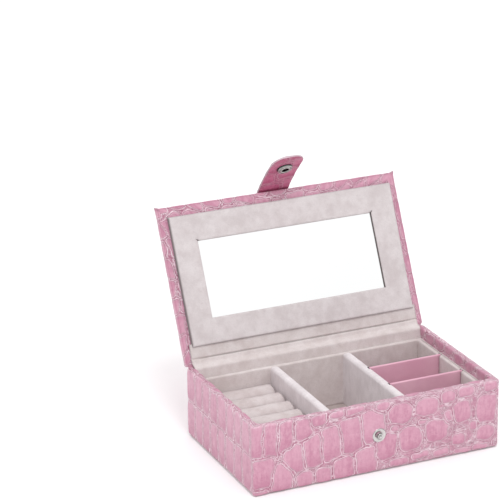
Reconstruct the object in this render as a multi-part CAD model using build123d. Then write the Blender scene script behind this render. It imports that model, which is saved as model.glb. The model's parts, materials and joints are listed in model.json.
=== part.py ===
from build123d import *
from math import cos, radians, sin
import os

# A flat jewellery box: wrapped board base, leather hinge, padded lid with a mirror, snap strap,
# ring rolls, two fixed dividers and two lift-out dividers.
# Frame: origin at the middle of the underside, X to the right, Y to the back, Z up. Millimetres.
# The lid is drawn closed and then swung open about the hinge line.

# --- driving dimensions ---------------------------------------------------------------------
LENGTH, DEPTH, BASE_TOP = 200.0, 121.0, 55.0
LID_GAP, LID_THICK = 0.3, 5.5
LID_OPEN = 116.0                  # degrees from closed
CORNER_R = 2.6                    # upright corners of the covered box
SKIN = 0.8                        # imitation leather
WALL, FLOOR = 3.4, 3.0            # board thicknesses
COVER_T, COVER_IN = 0.6, 3.0      # paper cover under the box, and its distance from the edge
LINING_T = 1.0                    # velvet and its paper on the floor
TURN_UNDER, TURN_DOWN = 12.0, 16.0
LOW_ROUND, RIM_ROUND = 1.4, 0.7   # rounding of the base's lower and upper edges
VELVET = 0.8
LINER_T, LINER_TOP, LINER_ROUND = 4.6, 47.0, 1.9           # wrapped liner panels
DIVIDER_T, DIVIDER_ROUND = 6.8, 3.0
DIVIDER_X = {"left": -31.9, "right": 29.4}
SLOT_Y = (-17.0, 17.0)            # slots for the lift-out dividers
SLOT_W, SLOT_DEPTH = 2.6, 2.0
LOOSE_T, LOOSE_SKIN, LOOSE_ROUND, FREE = 2.0, 0.4, 0.8, 0.3
ROLLS, ROLL_TOP, ROLL_FLAT, CARD_T = 6, 36.0, 0.4, 1.2

LID_SKIN, LID_BOARD, LID_FOAM = 0.7, 2.4, 1.7
PAD_ROUND, FOAM_ROUND, LIP_ROUND = 2.0, 1.3, 0.6
PANEL_X, PANEL_S = (-93.0, 94.3), (13.5, 113.0)            # mirror panel: ends, distances from the hinge
PANEL_CORNER, PANEL_ROUND = 1.5, 1.4
WINDOW_X, WINDOW_S = 73.0, (33.0, 92.0)    # mirror window
PANEL_DROP, PANEL_VELVET, MIRROR_IN = 3.5, 0.6, 1.7
MIRROR_T, MIRROR_LAP, BACKING_T = 1.4, 2.5, 0.8

STRAP_W, STRAP_PLY, STRAP_ANCHOR = 27.0, 0.8, 40.0
STRAP_ROOT, STRAP_BELOW_SNAP, STRAP_TIP_FLAT = 20.0, 17.5, 1.5
JOIN_GAP = 0.1                    # room between strap stretches and under glued strips
BEND_R, BEND_IN = 1.2, 1.0        # how the strap turns over the lid's front edge
STRAP_ANGLE = {"root": 61.0, "tip": 70.0}
STRAP_SHUT = 81.0                 # angle of the strap's first stretch when the snap is shut
CAP_R, CAP_H, CAP_RIM, SOCKET_R, SOCKET_H = 7.5, 2.4, 0.3, 5.6, 2.1
SNAP_ROUND = 0.7
STUD_Z, FLANGE_R, FLANGE_T, POST_R, POST_H, BORE_R = 29.4, 5.6, 0.9, 2.1, 1.9, 2.6
FLANGE_ROUND = 0.5
STRIP_TAIL = 9.0                  # how far the outer hinge strip runs down the back
STRIP_LAP = 4.0                   # how far the inner hinge strip runs under the mirror panel
FOLD_IN, FOLD_OUT, FOLD_CORE = 0.45, 1.05, 0.4             # radii of the two strips' folds at the hinge line
FOLD_SIDE, FOLD_LIFT = 0.8, 0.25

# --- worked out ------------------------------------------------------------------------------
HX, HY = LENGTH / 2, DEPTH / 2
BOARD_X, BOARD_Y = HX - SKIN, HY - SKIN
BORE_X, BORE_Y = BOARD_X - WALL, BOARD_Y - WALL            # inner faces of the wall boards
RIM_X, RIM_Y = BORE_X - SKIN, BORE_Y - SKIN                # inner faces of the turned-down leather
ROOM_X, ROOM_Y = RIM_X - LINER_T, RIM_Y - LINER_T          # inner faces of the liner
LEATHER_LOW = COVER_T
FLOOR_LOW = LEATHER_LOW + SKIN
FLOOR_TOP = FLOOR_LOW + FLOOR
LINING_TOP = FLOOR_TOP + LINING_T
BOARD_TOP = BASE_TOP - SKIN
LID_LOW = BASE_TOP + LID_GAP
LID_TOP = LID_LOW + LID_THICK
HINGE_Y, HINGE_Z = HY, BASE_TOP + LID_GAP / 2
HINGE_HALF = HX - 6.0                                      # half length of the hinge strips
LID_BOARD_LOW = LID_LOW + LID_SKIN
FOAM_LOW = LID_BOARD_LOW + LID_BOARD
PANEL_LOW = LID_LOW - PANEL_DROP

os.makedirs("parts", exist_ok=True)


def save(name, shape):
    export_step(shape, f"parts/{name}.step")


def slab(x0, x1, y0, y1, z0, z1):
    """Plain block between two corners."""
    return Pos((x0 + x1) / 2, (y0 + y1) / 2, (z0 + z1) / 2) * Box(x1 - x0, y1 - y0, z1 - z0)


def plate(half_x, half_y, z0, z1, radius):
    """Block with rounded upright corners, centred on the Z axis."""
    return Pos(0, 0, z0) * extrude(RectangleRounded(2 * half_x, 2 * half_y, radius), z1 - z0)


def opened(shape):
    """Swings a shape drawn on the closed lid to the resting, open place."""
    return Pos(0, HINGE_Y, HINGE_Z) * Rot(-LID_OPEN, 0, 0) * Pos(0, -HINGE_Y, -HINGE_Z) * shape


def from_hinge(distance):
    """Y of a line this far in front of the back edge, on the closed lid."""
    return HY - distance


def along_x(radius, y, z, half):
    """Round bar along X."""
    return Pos(0, y, z) * Rot(0, 90, 0) * Cylinder(radius, 2 * half)


def along_y(radius, y0, y1, x, z):
    """Round bar along Y between two depths."""
    return Pos(x, (y0 + y1) / 2, z) * Rot(90, 0, 0) * Cylinder(radius, abs(y1 - y0))


# --- base shell ------------------------------------------------------------------------------
def base_shell():
    save("bottom_cover", plate(HX - COVER_IN, HY - COVER_IN, 0, COVER_T, CORNER_R))
    save("bottom_board", plate(BOARD_X, BOARD_Y, FLOOR_LOW, FLOOR_TOP, CORNER_R - SKIN))
    walls = plate(BOARD_X, BOARD_Y, FLOOR_TOP, BOARD_TOP, CORNER_R - SKIN)
    walls -= slab(-BORE_X, BORE_X, -BORE_Y, BORE_Y, 0, BASE_TOP)
    high = (0, BASE_TOP)
    save("front_board", walls & slab(-HX, HX, -HY, -BORE_Y, *high))
    save("back_board", walls & slab(-HX, HX, BORE_Y, HY, *high))
    save("left_board", walls & slab(-HX, -BORE_X, -BORE_Y, BORE_Y, *high))
    save("right_board", walls & slab(BORE_X, HX, -BORE_Y, BORE_Y, *high))
    save("floor_lining", slab(-BORE_X, BORE_X, -BORE_Y, BORE_Y, FLOOR_TOP, LINING_TOP))

    skin = plate(HX, HY, LEATHER_LOW, BASE_TOP, CORNER_R)
    skin = fillet(skin.edges().group_by(Axis.Z)[0], LOW_ROUND)
    skin = fillet(skin.edges().group_by(Axis.Z)[-1], RIM_ROUND)
    skin -= plate(BOARD_X, BOARD_Y, FLOOR_LOW, BOARD_TOP, CORNER_R - SKIN)
    skin -= slab(-HX + TURN_UNDER, HX - TURN_UNDER, -HY + TURN_UNDER, HY - TURN_UNDER, 0, FLOOR_TOP)
    skin -= slab(-BORE_X, BORE_X, -BORE_Y, BORE_Y, FLOOR_TOP, BASE_TOP)
    flap = slab(-BORE_X, BORE_X, -BORE_Y, BORE_Y, BASE_TOP - TURN_DOWN, BASE_TOP)
    skin += flap - slab(-RIM_X, RIM_X, -RIM_Y, RIM_Y, 0, BASE_TOP)
    skin -= slab(-HINGE_HALF, HINGE_HALF, BOARD_Y, HY, HINGE_Z - STRIP_TAIL, BASE_TOP)
    skin -= slab(-HINGE_HALF, HINGE_HALF, RIM_Y, HY, BASE_TOP - TURN_DOWN, BASE_TOP)
    save("base_leather", skin)


# --- velvet panels that stand in the base ----------------------------------------------------
def wrapped_panel(length, thick, height, top_r):
    """A card core with velvet up one face, over the rounded top and down the other."""
    outer = Pos(0, 0, height / 2) * Box(length, thick, height)
    outer = fillet(outer.edges().filter_by(Axis.X).group_by(Axis.Z)[-1], top_r)
    core_h = height - VELVET
    core = Pos(0, 0, core_h / 2) * Box(length, thick - 2 * VELVET, core_h)
    core = fillet(core.edges().filter_by(Axis.X).group_by(Axis.Z)[-1], top_r - VELVET)
    return core, outer - core


def standing_panels():
    height = LINER_TOP - LINING_TOP
    end_y = RIM_Y - LINER_T / 2
    side_x = RIM_X - LINER_T / 2
    span = 2 * ROOM_Y
    slots = Part()
    for y in SLOT_Y:
        x0 = DIVIDER_X["right"] + DIVIDER_T / 2 - SLOT_DEPTH
        slots += slab(x0, ROOM_X + SLOT_DEPTH, y - SLOT_W / 2, y + SLOT_W / 2, LINING_TOP, BASE_TOP)
    panels = {
        "liner_front": (Pos(0, -end_y, LINING_TOP), 2 * RIM_X, LINER_T, LINER_ROUND),
        "liner_back": (Pos(0, end_y, LINING_TOP), 2 * RIM_X, LINER_T, LINER_ROUND),
        "liner_left": (Pos(-side_x, 0, LINING_TOP) * Rot(0, 0, 90), span, LINER_T, LINER_ROUND),
        "liner_right": (Pos(side_x, 0, LINING_TOP) * Rot(0, 0, 90), span, LINER_T, LINER_ROUND),
    }
    for side, x in DIVIDER_X.items():
        panels[f"divider_{side}"] = (Pos(x, 0, LINING_TOP) * Rot(0, 0, 90), span, DIVIDER_T, DIVIDER_ROUND)
    for name, (place, length, thick, top_r) in panels.items():
        for piece, shape in zip(("card", "velvet"), wrapped_panel(length, thick, height, top_r)):
            shape = place * shape
            if name in ("liner_right", "divider_right"):
                shape -= slots
            save(f"{name}_{piece}", shape)


# --- ring rolls ------------------------------------------------------------------------------
def ring_tray():
    x0, x1 = -ROOM_X + FREE, DIVIDER_X["left"] - DIVIDER_T / 2 - FREE
    card_top = LINING_TOP + CARD_T
    save("ring_card", slab(x0, x1, -ROOM_Y + FREE, ROOM_Y - FREE, LINING_TOP, card_top))
    pitch = 2 * ROOM_Y / ROLLS
    half = pitch / 2 - FREE / 2
    for i in range(ROLLS):
        y = -ROOM_Y + (i + 0.5) * pitch
        roll = slab(x0, x1, y - half, y + half, card_top, ROLL_TOP)
        roll = fillet(roll.edges().filter_by(Axis.X).group_by(Axis.Z)[-1], half - ROLL_FLAT)
        save(f"ring_roll_{i + 1}", roll)


# --- lift-out dividers -----------------------------------------------------------------------
def loose_dividers():
    x0 = DIVIDER_X["right"] + DIVIDER_T / 2 - SLOT_DEPTH + FREE
    x1 = ROOM_X + SLOT_DEPTH - FREE
    z0, z1 = LINING_TOP + FREE, LINER_TOP + FREE
    for side, y in zip(("front", "back"), SLOT_Y):
        cover = slab(x0, x1, y - LOOSE_T / 2, y + LOOSE_T / 2, z0, z1)
        cover = fillet(cover.edges().filter_by(Axis.X).group_by(Axis.Z)[-1], LOOSE_ROUND)
        core_half = LOOSE_T / 2 - LOOSE_SKIN
        core = slab(x0, x1, y - core_half, y + core_half, z0, z1 - LOOSE_SKIN)
        save(f"loose_divider_{side}_card", core)
        save(f"loose_divider_{side}_cover", cover - core)


# --- lid -------------------------------------------------------------------------------------
def lid():
    edge_x, edge_y = HX - LID_SKIN, HY - LID_SKIN
    inner_r = CORNER_R - LID_SKIN
    save("lid_board", opened(plate(edge_x, edge_y, LID_BOARD_LOW, FOAM_LOW, inner_r)))
    foam = plate(edge_x, edge_y, FOAM_LOW, FOAM_LOW + LID_FOAM, inner_r)
    foam = fillet(foam.edges().group_by(Axis.Z)[-1], FOAM_ROUND)
    save("lid_foam", opened(foam))

    skin = plate(HX, HY, LID_LOW, LID_TOP, CORNER_R)
    skin = fillet(skin.edges().group_by(Axis.Z)[-1], PAD_ROUND)
    skin = fillet(skin.edges().group_by(Axis.Z)[0], LIP_ROUND)
    skin -= plate(edge_x, edge_y, LID_BOARD_LOW, FOAM_LOW, inner_r)
    skin -= foam
    skin -= slab(-HX + TURN_UNDER, HX - TURN_UNDER, -HY + TURN_UNDER, HY - TURN_UNDER, 0, FOAM_LOW)
    skin -= slab(-HINGE_HALF, HINGE_HALF, from_hinge(PANEL_S[0] + STRIP_LAP), HY, 0, LID_BOARD_LOW)
    skin -= slab(-HINGE_HALF, HINGE_HALF, edge_y, HY, 0, FOAM_LOW)
    save("lid_leather", opened(skin))

    front, back = from_hinge(PANEL_S[1]), from_hinge(PANEL_S[0])
    panel = slab(*PANEL_X, front, back, PANEL_LOW, LID_LOW)
    panel = fillet(panel.edges().filter_by(Axis.Z), PANEL_CORNER)
    panel = fillet(panel.faces().sort_by(Axis.Z)[0].edges(), PANEL_ROUND)
    inset = PANEL_VELVET
    card_x = (PANEL_X[0] + inset, PANEL_X[1] - inset)
    card = slab(*card_x, front + inset, back - inset, PANEL_LOW + inset, LID_LOW)
    window_y = (from_hinge(WINDOW_S[1]), from_hinge(WINDOW_S[0]))
    hole = slab(-WINDOW_X, WINDOW_X, *window_y, PANEL_LOW, LID_LOW)
    hem = slab(-WINDOW_X - inset, WINDOW_X + inset, window_y[0] - inset, window_y[1] + inset,
               PANEL_LOW, PANEL_LOW + MIRROR_IN)
    glass_low = PANEL_LOW + MIRROR_IN
    lap_x, lap_y = WINDOW_X + MIRROR_LAP, (window_y[0] - MIRROR_LAP, window_y[1] + MIRROR_LAP)
    pocket = slab(-lap_x, lap_x, *lap_y, glass_low, LID_LOW)
    card = card - hem - pocket
    save("mirror_panel_card", opened(card))
    save("mirror_panel_velvet", opened(panel - card - hole - pocket))
    save("mirror", opened(slab(-lap_x, lap_x, *lap_y, glass_low, glass_low + MIRROR_T)))
    backing = slab(-lap_x, lap_x, *lap_y, glass_low + MIRROR_T, glass_low + MIRROR_T + BACKING_T)
    save("mirror_backing", opened(backing))


# --- hinge strips ----------------------------------------------------------------------------
def hinge_strips():
    """One outer leather strip and one inner velvet strip, each glued to both the base and the lid."""
    reach = (-HINGE_HALF, HINGE_HALF)
    leather = slab(*reach, BOARD_Y, HY, HINGE_Z - STRIP_TAIL, BASE_TOP - JOIN_GAP)
    leather += opened(slab(*reach, HY - LID_SKIN, HY, LID_LOW + JOIN_GAP, FOAM_LOW))
    leather += along_x(FOLD_CORE, HINGE_Y, HINGE_Z, HINGE_HALF)
    save("hinge_leather", leather)

    rim_low, rim_top = BOARD_TOP, BASE_TOP - JOIN_GAP
    lid_front = from_hinge(PANEL_S[0]) + JOIN_GAP
    velvet = slab(*reach, RIM_Y, HINGE_Y - FOLD_SIDE, rim_low, rim_top)
    velvet += slab(*reach, RIM_Y, BORE_Y, BASE_TOP - TURN_DOWN, rim_low)
    velvet += opened(slab(*reach, lid_front, HINGE_Y - FOLD_SIDE, LID_LOW + JOIN_GAP, LID_BOARD_LOW))
    fold = along_x(FOLD_OUT, HINGE_Y, HINGE_Z, HINGE_HALF) - along_x(FOLD_IN, HINGE_Y, HINGE_Z, HINGE_HALF)
    fold -= slab(*reach, 0, HY + STRIP_LAP, 0, rim_low)
    fold -= slab(*reach, HINGE_Y, HY + STRIP_LAP, 0, HINGE_Z + FOLD_LIFT)
    velvet += fold
    save("hinge_velvet", velvet - leather)


# --- strap and snap --------------------------------------------------------------------------
BEND_Y, BEND_Z = -HY + BEND_IN, LID_TOP - BEND_R           # strap bend centre on the closed lid
SHUT = radians(STRAP_SHUT)
SNAP_AT = STRAP_ROOT + BEND_Z + BEND_R * cos(SHUT) - STRAP_ROOT * sin(SHUT) - STUD_Z
STRAP_LENGTH = SNAP_AT + STRAP_BELOW_SNAP


def turned(shape, angle):
    """Swings a strap piece drawn flat in line with the lid down about the lid's front edge."""
    return Pos(0, BEND_Y, BEND_Z) * Rot(angle, 0, 0) * Pos(0, -BEND_Y, -BEND_Z) * shape


def at_tip(shape):
    """Adds the second, smaller bend in the middle of the strap."""
    y, z = BEND_Y - STRAP_ROOT, LID_TOP
    bend = STRAP_ANGLE["tip"] - STRAP_ANGLE["root"]
    shape = Pos(0, y, z) * Rot(bend, 0, 0) * Pos(0, -y, -z) * shape
    return opened(turned(shape, STRAP_ANGLE["root"]))


def strap():
    half = STRAP_W / 2
    plies = {"inner": (LID_TOP, LID_TOP + STRAP_PLY),
             "outer": (LID_TOP + STRAP_PLY, LID_TOP + 2 * STRAP_PLY)}
    y_root, y_tip = BEND_Y - STRAP_ROOT, BEND_Y - STRAP_LENGTH
    snap_y = BEND_Y - SNAP_AT
    for ply, (z0, z1) in plies.items():
        anchor = slab(-half, half, BEND_Y + JOIN_GAP, BEND_Y + STRAP_ANCHOR, z0, z1)
        save(f"strap_anchor_{ply}", opened(anchor))
        root = slab(-half, half, y_root + JOIN_GAP, BEND_Y - JOIN_GAP, z0, z1)
        save(f"strap_root_{ply}", opened(turned(root, STRAP_ANGLE["root"])))
        tip = slab(-half, half, y_tip, y_root - JOIN_GAP, z0, z1)
        tip = fillet(tip.edges().filter_by(Axis.Z).group_by(Axis.Y)[0], half - STRAP_TIP_FLAT)
        tip -= Pos(0, snap_y, LID_TOP) * Cylinder(BORE_R, 4 * STRAP_PLY)
        save(f"strap_tip_{ply}", at_tip(tip))
    cap = Pos(0, snap_y, LID_TOP + 2 * STRAP_PLY) * extrude(Circle(CAP_R), CAP_H)
    cap = fillet(cap.edges().group_by(Axis.Z)[-1], CAP_H - CAP_RIM)
    cap += Pos(0, snap_y, LID_TOP + STRAP_PLY) * Cylinder(BORE_R, 2 * STRAP_PLY)
    save("snap_cap", at_tip(cap))
    socket_low = LID_TOP - SOCKET_H
    socket = Pos(0, snap_y, socket_low) * extrude(Circle(SOCKET_R), SOCKET_H)
    socket = fillet(socket.edges().group_by(Axis.Z)[0], SNAP_ROUND)
    socket -= Pos(0, snap_y, socket_low) * extrude(Circle(BORE_R), SOCKET_H)
    save("snap_socket", at_tip(socket))


def stud():
    flange = along_y(FLANGE_R, -HY, -HY - FLANGE_T, 0, STUD_Z)
    flange = fillet(flange.edges().group_by(Axis.Y)[0], FLANGE_ROUND)
    save("stud_flange", flange)
    post = along_y(POST_R, -HY - FLANGE_T, -HY - FLANGE_T - POST_H, 0, STUD_Z)
    post = fillet(post.edges().group_by(Axis.Y)[0], SNAP_ROUND)
    save("stud_post", post)


base_shell()
standing_panels()
ring_tray()
loose_dividers()
lid()
hinge_strips()
strap()
stud()
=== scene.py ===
import json
import math

import bpy
import numpy as np
from mathutils import Matrix, Vector


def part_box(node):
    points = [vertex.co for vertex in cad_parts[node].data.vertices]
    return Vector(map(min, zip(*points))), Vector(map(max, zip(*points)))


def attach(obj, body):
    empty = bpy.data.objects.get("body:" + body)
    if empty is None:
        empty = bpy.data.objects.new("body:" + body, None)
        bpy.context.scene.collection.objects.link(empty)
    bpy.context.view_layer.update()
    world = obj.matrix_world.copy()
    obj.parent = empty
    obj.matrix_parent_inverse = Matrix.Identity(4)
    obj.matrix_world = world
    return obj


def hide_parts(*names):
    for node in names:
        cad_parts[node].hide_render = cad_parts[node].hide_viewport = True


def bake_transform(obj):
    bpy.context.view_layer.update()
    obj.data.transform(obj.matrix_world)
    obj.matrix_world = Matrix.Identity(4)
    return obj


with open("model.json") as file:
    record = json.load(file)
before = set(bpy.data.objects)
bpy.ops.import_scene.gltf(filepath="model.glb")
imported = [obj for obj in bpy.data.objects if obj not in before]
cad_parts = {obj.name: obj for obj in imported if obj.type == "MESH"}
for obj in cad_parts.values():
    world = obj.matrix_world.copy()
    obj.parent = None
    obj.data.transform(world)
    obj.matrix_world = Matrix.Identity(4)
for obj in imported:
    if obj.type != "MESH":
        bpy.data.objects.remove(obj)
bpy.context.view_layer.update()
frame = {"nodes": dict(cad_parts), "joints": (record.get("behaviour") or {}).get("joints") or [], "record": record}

# Lengths are millimetres. MM turns them into metres where a mesh or the camera is made.
MM = 0.001


def node_box(node):
    low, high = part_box(node)
    return np.array(low) / MM, np.array(high) / MM


def joint(name):
    return next(j for j in frame["joints"] if j["name"] == name)


# --- dimensions read from the frame ---
BASE_LOW, BASE_HIGH = node_box("base_leather")
HX, HY, RIM = BASE_HIGH
LINER_TOP = node_box("liner_left_velvet")[1][2]
FLOOR = node_box("floor_lining")[1][2]
WALL_T = HX + node_box("liner_left_velvet")[0][0]   # leather, board and turned-down leather
HINGE_Y, HINGE_Z = np.array(joint("lid_hinge")["pos_m"][1:]) / MM
LID_OPEN = -joint("lid_hinge")["range_deg"][0]
ROOT_BEND = np.array(joint("strap_root_bend")["pos_m"][1:]) / MM
TIP_BEND = np.array(joint("strap_tip_bend")["pos_m"][1:]) / MM
CLEARANCE = 2 * (HINGE_Z - RIM)
LID_LOW = RIM + CLEARANCE
LID_THICK = 5.5
LID_TOP = LID_LOW + LID_THICK

# --- dimensions of the looks ---
SKIN_PITCH = 0.82       # distance between the points of a leather skin
LEATHER_T = 0.7
LID_SKIN_T = 0.6
TURN_DOWN = 42.0        # height where the leather ends inside the walls
TURN_UNDER = 10.0       # how far the leather runs under the base
TOP_INSET = 6.0         # where the lid's flat top grid meets its rounded edge
LID_BORDER = 13.0       # how far the leather runs in under the lid
FOLD_INSET = 4.8        # from the box's ends to the ends of the velvet strip at the hinge
WINDOW = (73.0, 33.0, 92.0)   # half length of the mirror window, and its two distances from the hinge
PANEL_LEAN = 1.5        # how far the mirror panel's right edge runs in toward the hinge
SLOT_PLAY = 0.9
STRAP_HALF = 13.5
STRAP_T = 1.6
STRAP_STEP = 0.5        # distance between the strap's points
STRAP_LEAN = 1.3        # how far the strap's root stands to the left of the middle
ANCHOR_LONG = 40.0      # length of the strap's glued part
STRAP_LONG = 21.4       # from the bend at the lid's edge to the bend above the snap
STRAP_CUT = 9.0         # how far beyond the first bend the strap's two stretches meet
RELIEF = {"base": 0.5, "lid": 0.55, "fold": 0.06, "strap": 0.20}   # height of the scales
GROW = (1.10, 1.34)     # how far a round and a tall scale may spread before the small crackle begins
SKY = (0.55, 1.03)      # studio brightness at the horizon and from 27 degrees up


# --- small numeric helpers ---


def smooth(t):
    t = np.clip(t, 0, 1)
    return t * t * (3 - 2 * t)


def noise(x, y, cell, seed):
    """Smooth random field from -1 to 1 whose features are about cell across."""
    table = np.random.default_rng(seed).uniform(-1, 1, (64, 64))
    gx, gy = x / cell, y / cell
    ix, iy = np.floor(gx).astype(int), np.floor(gy).astype(int)
    fx, fy = smooth(gx - ix), smooth(gy - iy)
    a, b = table[ix % 64, iy % 64], table[(ix + 1) % 64, iy % 64]
    c, d = table[ix % 64, (iy + 1) % 64], table[(ix + 1) % 64, (iy + 1) % 64]
    return (a * (1 - fx) + b * fx) * (1 - fy) + (c * (1 - fx) + d * fx) * fy


def swung(p, degrees):
    """Points turned about the hinge line. Positive degrees close the lid."""
    t = math.radians(degrees)
    y, z = p[..., 1] - HINGE_Y, p[..., 2] - HINGE_Z
    out = p.copy()
    out[..., 1] = HINGE_Y + y * math.cos(t) - z * math.sin(t)
    out[..., 2] = HINGE_Z + y * math.sin(t) + z * math.cos(t)
    return out


def opened(p):
    """Points drawn on the closed lid, moved to the open resting place."""
    return swung(p, -LID_OPEN)


def rounded_path(corners, pitch):
    """Points along straight runs joined by arcs. corners: (across, height, radius)."""
    pts = [np.array(c[:2], float) for c in corners]
    out = [pts[0]]

    def run_to(end):
        start = out[-1]
        n = max(1, int(round(np.linalg.norm(end - start) / pitch)))
        out.extend(start + (end - start) * k / n for k in range(1, n + 1))

    for i in range(1, len(pts) - 1):
        a = pts[i - 1] - pts[i]
        b = pts[i + 1] - pts[i]
        a, b = a / np.linalg.norm(a), b / np.linalg.norm(b)
        half = math.acos(np.clip(a @ b, -1, 1)) / 2
        radius = corners[i][2]
        if radius <= 0:
            run_to(pts[i])
            continue
        cut = radius / math.tan(half)
        centre = pts[i] + (a + b) / np.linalg.norm(a + b) * radius / math.sin(half)
        run_to(pts[i] + a * cut)
        start, end = out[-1] - centre, pts[i] + b * cut - centre
        sweep = math.atan2(start[0] * end[1] - start[1] * end[0], start @ end)
        n = max(3, int(round(abs(sweep) * radius / pitch)))
        for k in range(1, n + 1):
            t = sweep * k / n
            turn = np.array([[math.cos(t), -math.sin(t)], [math.sin(t), math.cos(t)]])
            out.append(centre + turn @ start)
    run_to(pts[-1])
    return np.array(out)


def lengths(path):
    """Distance of every point of a path from its start."""
    return np.concatenate([[0], np.cumsum(np.linalg.norm(np.diff(path, axis=0), axis=1))])


# --- mesh building ---
class Skin:
    """Collects grids of points with per-point values, welds them and makes one mesh."""

    def __init__(self):
        self.points, self.faces, self.fields, self.count = [], [], {}, 0

    def grid(self, points, loop_rows=False, loop_cols=False, flip=False, **fields):
        rows, cols = points.shape[:2]
        index = np.arange(rows * cols).reshape(rows, cols) + self.count
        if loop_rows:
            index = np.vstack([index, index[:1]])
        if loop_cols:
            index = np.hstack([index, index[:, :1]])
        quads = np.stack([index[:-1, :-1], index[:-1, 1:], index[1:, 1:], index[1:, :-1]], -1).reshape(-1, 4)
        self.faces.append(quads[:, ::-1] if flip else quads)
        self.points.append(points.reshape(-1, 3))
        for key, value in fields.items():
            width = 3 if value.ndim == 3 else 1
            self.fields.setdefault(key, []).append(value.reshape(-1, width))
        self.count += rows * cols

    def bar(self, grid, gap, end_gap):
        """A bar whose wall is one grid, with its two ends and its foot closed. gap and end_gap paint shade on its
        wall and its ends.
        """
        self.grid(grid, gap=gap)
        for column in (0, -1):
            ring = grid[:, column]
            fan = np.array([ring, np.repeat(ring.mean(0)[None], len(ring), 0)])
            self.grid(fan, flip=column == 0, gap=np.full(fan.shape[:2], end_gap))
        self.grid(np.array([grid[-1], grid[0]]), gap=gap[[-1, 0]])

    def strip(self, layers, flip=False, **fields):
        """Both faces of a thin strip and its four edges. Every field has one grid for each face."""
        layers = np.array(layers)
        for face in (0, 1):
            self.grid(layers[face], flip=flip != (face == 1), **{k: v[face] for k, v in fields.items()})
        for edge in (0, -1):
            self.grid(layers[:, edge], flip=flip != (edge == 0), **{k: v[:, edge] for k, v in fields.items()})
            self.grid(layers[:, :, edge].swapaxes(0, 1), flip=flip != (edge == -1),
                      **{k: v[:, :, edge].swapaxes(0, 1) for k, v in fields.items()})

    def object(self, name, weld=0.02):
        co = np.vstack(self.points)
        faces = np.vstack(self.faces)
        key = np.round(co / weld).astype(np.int64)
        _, first, inverse = np.unique(key, axis=0, return_index=True, return_inverse=True)
        faces = inverse.reshape(-1)[faces]
        kept = [dict.fromkeys(f) for f in faces.tolist()]
        polys = [list(f) for f in kept if len(f) > 2]
        mesh = bpy.data.meshes.new(name)
        mesh.from_pydata((co[first] * MM).tolist(), [], polys)
        for key, parts in self.fields.items():
            value = np.vstack(parts)[first]
            kind = "FLOAT_VECTOR" if value.shape[1] == 3 else "FLOAT"
            layer = mesh.attributes.new(key, kind, "POINT")
            entry = "vector" if value.shape[1] == 3 else "value"
            layer.data.foreach_set(entry, value.astype(np.float32).ravel())
        mesh.shade_smooth()
        ob = bpy.data.objects.new(name, mesh)
        bpy.context.scene.collection.objects.link(ob)
        return ob


def points_of(ob):
    return np.array([v.co for v in ob.data.vertices]) / MM


def set_points(ob, co):
    ob.data.vertices.foreach_set("co", (co * MM).astype(np.float32).ravel())
    ob.data.update()


def field(ob, name, width=1):
    layer = ob.data.attributes[name].data
    out = np.zeros(len(layer) * width, np.float32)
    layer.foreach_get("vector" if width == 3 else "value", out)
    return out.reshape(-1, width) if width > 1 else out


def normals(path, towards):
    """Unit normals of a path, on the side that towards points to at its start."""
    tangent = np.gradient(path, axis=0)
    normal = np.column_stack([-tangent[:, 1], tangent[:, 0]])
    normal /= np.linalg.norm(normal, axis=1)[:, None]
    return normal if normal[0] @ towards >= 0 else -normal


def push(ob, amount):
    """Moves every point along its normal by amount, in mm."""
    count = len(ob.data.vertices)
    co, normal = np.zeros(count * 3, np.float32), np.zeros(count * 3, np.float32)
    ob.data.vertices.foreach_get("co", co)
    ob.data.vertices.foreach_get("normal", normal)
    co = co.reshape(-1, 3) + normal.reshape(-1, 3) * (np.asarray(amount)[:, None] * MM)
    ob.data.vertices.foreach_set("co", co.astype(np.float32).ravel())
    ob.data.update()


class Ring:
    """Columns round a rectangle with rounded corners; place() gives points at an inward distance."""

    def __init__(self, half_x, half_y, radius, pitch):
        self.sides = [((0, -1), (-1, 0), half_y, half_x), ((1, 0), (0, -1), half_x, half_y),
                      ((0, 1), (1, 0), half_y, half_x), ((-1, 0), (0, 1), half_x, half_y)]
        self.radius = radius
        self.side, self.share = [], []
        for k, (_, _, half, _) in enumerate(self.sides):
            n = int(round(2 * half / pitch))
            self.side += [k] * n
            self.share += list(-1 + 2 * np.arange(n) / n)
        self.side, self.share = np.array(self.side), np.array(self.share)

    def place(self, inward):
        """(x, y) and outward (x, y) direction of every column at one inward distance."""
        xy, out = np.zeros((len(self.side), 2)), np.zeros((len(self.side), 2))
        for k, (along, normal, half, other) in enumerate(self.sides):
            pick = self.side == k
            bend = max(self.radius - inward, 0)
            flat = half - max(self.radius, inward)
            run = np.abs(self.share[pick]) * (flat + bend * math.pi / 4)
            sign = np.sign(self.share[pick])
            turn = np.clip((run - flat) / max(bend, 1e-6), 0, math.pi / 4) if bend > 0 else 0 * run
            a = sign * (np.minimum(run, flat) + bend * np.sin(turn))
            b = other - max(self.radius, inward) + bend * np.cos(turn)
            e, n = np.array(along), np.array(normal)
            xy[pick] = a[:, None] * e + b[:, None] * n
            out[pick] = (sign * np.sin(turn))[:, None] * e + np.cos(turn)[:, None] * n
        return xy, out

    def around(self):
        """Distance round the outside, 0 at the front left corner, growing to the right."""
        start = [-self.sides[0][2] * 2, 0, self.sides[1][2] * 2, (self.sides[1][2] + self.sides[2][2]) * 2]
        half = np.array([s[2] for s in self.sides])
        return np.array(start)[self.side] + (self.share + 1) * half[self.side]


# --- crocodile pattern ---
# A scale is (across, up, half width, half height, tilt in degrees) on the flat hide.


def belly_row(start, end, count, half_height, rng, up=0.0, slope=0.0):
    """Scales side by side between two distances, at a height that rises by slope from the first distance."""
    step = (end - start) / count
    spots = start + (np.arange(count) + 0.5) * step + rng.uniform(-0.12, 0.12, count) * step
    return [(u, up + slope * (u - start) + rng.uniform(-0.6, 0.6), step * 0.62 * rng.uniform(0.92, 1.08),
             half_height, rng.uniform(-5, 5)) for u in spots]


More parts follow.
